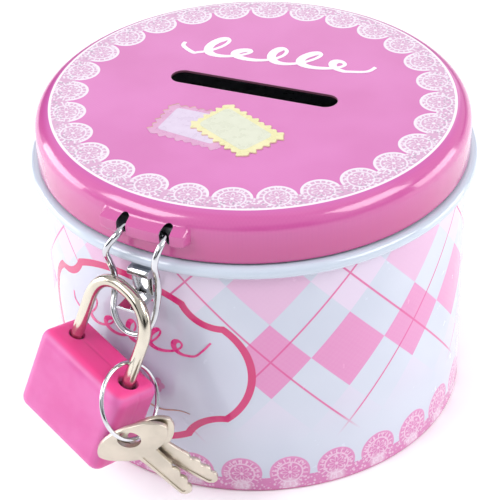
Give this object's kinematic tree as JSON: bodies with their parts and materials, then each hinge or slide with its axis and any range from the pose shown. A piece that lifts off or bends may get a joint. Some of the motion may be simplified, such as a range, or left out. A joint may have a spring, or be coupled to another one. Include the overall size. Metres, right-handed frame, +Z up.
{
  "type": "tin money box",
  "caption": "Round tin money box with a coin slot in its hinged lid, and a wire hasp closed by a small covered padlock with its keys on a ring.",
  "frame": {"origin": "centre of the flat underside of the tin", "axes": "+Z up; +X along the coin slot; the hasp stands on the -Y side, turned 6.3 degrees towards -X"},
  "size_m": [0.0838, 0.1051, 0.0615],
  "materials": {
    "printed_tin": "gloss lacquer over pale print with pink argyle",
    "bare_tin": "plain tinplate",
    "lid_lacquer": "gloss pink lacquer with a pale lace border",
    "chrome": "bright plated steel",
    "nickel": "nickel plated",
    "pink_vinyl": "soft satin vinyl",
    "brass": "machined",
    "spring_steel": "wound wire"
  },
  "bodies": {
    "box_body": {"body_wall": "printed_tin", "base_panel": "bare_tin", "staple": "chrome", "hinge_leaf_body": "chrome", "hinge_pin": "chrome", "hinge_rivet_body_left": "nickel", "hinge_rivet_body_right": "nickel"},
    "lid": {"lid_shell": "lid_lacquer", "hinge_leaf_lid": "chrome", "hinge_rivet_lid_left": "nickel", "hinge_rivet_lid_right": "nickel"},
    "hasp": {"hasp_wire": "chrome"},
    "shackle": {"shackle": "nickel"},
    "lock_case": {"padlock_cover": "pink_vinyl", "padlock_case": "nickel", "padlock_end_plate": "nickel", "latch_spring": "spring_steel", "shackle_spring": "spring_steel"},
    "key_plug": {"key_plug": "brass"},
    "latch_bolt": {"latch_bolt": "brass"},
    "key_ring": {"key_ring": "chrome"},
    "key_1": {"key_1": "nickel"},
    "key_2": {"key_2": "nickel"}
  },
  "joints": [
    {"name": "lid_hinge", "type": "hinge", "parent": "box_body", "child": "lid", "pos_m": [0.00485, 0.04393, 0.051], "axis": [-0.994, 0.1097, 0], "range_deg": [0, 100]},
    {"name": "hasp_swing", "type": "hinge", "parent": "lid", "child": "hasp", "pos_m": [-0.00447, -0.0405, 0.057], "axis": [-0.994, 0.1097, 0], "range_deg": [0, 100]},
    {"name": "padlock_swing", "type": "hinge", "parent": "hasp", "child": "shackle", "pos_m": [-0.00627, -0.04493, 0.04675], "axis": [-0.994, 0.1097, 0], "range_deg": [-3, 35]},
    {"name": "shackle_release", "type": "slide", "parent": "shackle", "child": "lock_case", "axis": [-0.3124, -0.112, -0.9433], "range_m": [0, 0.0052]},
    {"name": "plug_turn", "type": "hinge", "parent": "lock_case", "child": "key_plug", "pos_m": [-0.01502, -0.04807, 0.02034], "axis": [0.3124, 0.112, 0.9433], "range_deg": [0, 90]},
    {"name": "latch_retract", "type": "slide", "parent": "lock_case", "child": "latch_bolt", "axis": [-0.8816, 0.4042, 0.244], "range_m": [0, 0.0019]},
    {"name": "ring_swing", "type": "hinge", "parent": "shackle", "child": "key_ring", "pos_m": [-0.0049, -0.04814, 0.0332], "axis": [0.4168, 0.7625, -0.4948], "range_deg": [-9, 0]},
    {"name": "key_1_swing", "type": "hinge", "parent": "key_ring", "child": "key_1", "pos_m": [-0.0025, -0.05576, 0.02323], "axis": [0.3263, -0.929, -0.1747], "range_deg": [-15, 15]},
    {"name": "key_2_swing", "type": "hinge", "parent": "key_ring", "child": "key_2", "pos_m": [-0.00158, -0.05372, 0.0223], "axis": [0.3263, -0.929, -0.1747], "range_deg": [-3, 15]}
  ],
  "couplings": [
    {"joint": "hasp_swing", "follows": "lid_hinge", "ratio": 1},
    {"joint": "plug_turn", "follows": "shackle_release", "rad_per_m": 301.77},
    {"joint": "latch_retract", "follows": "shackle_release", "ratio": 0.36}
  ]
}
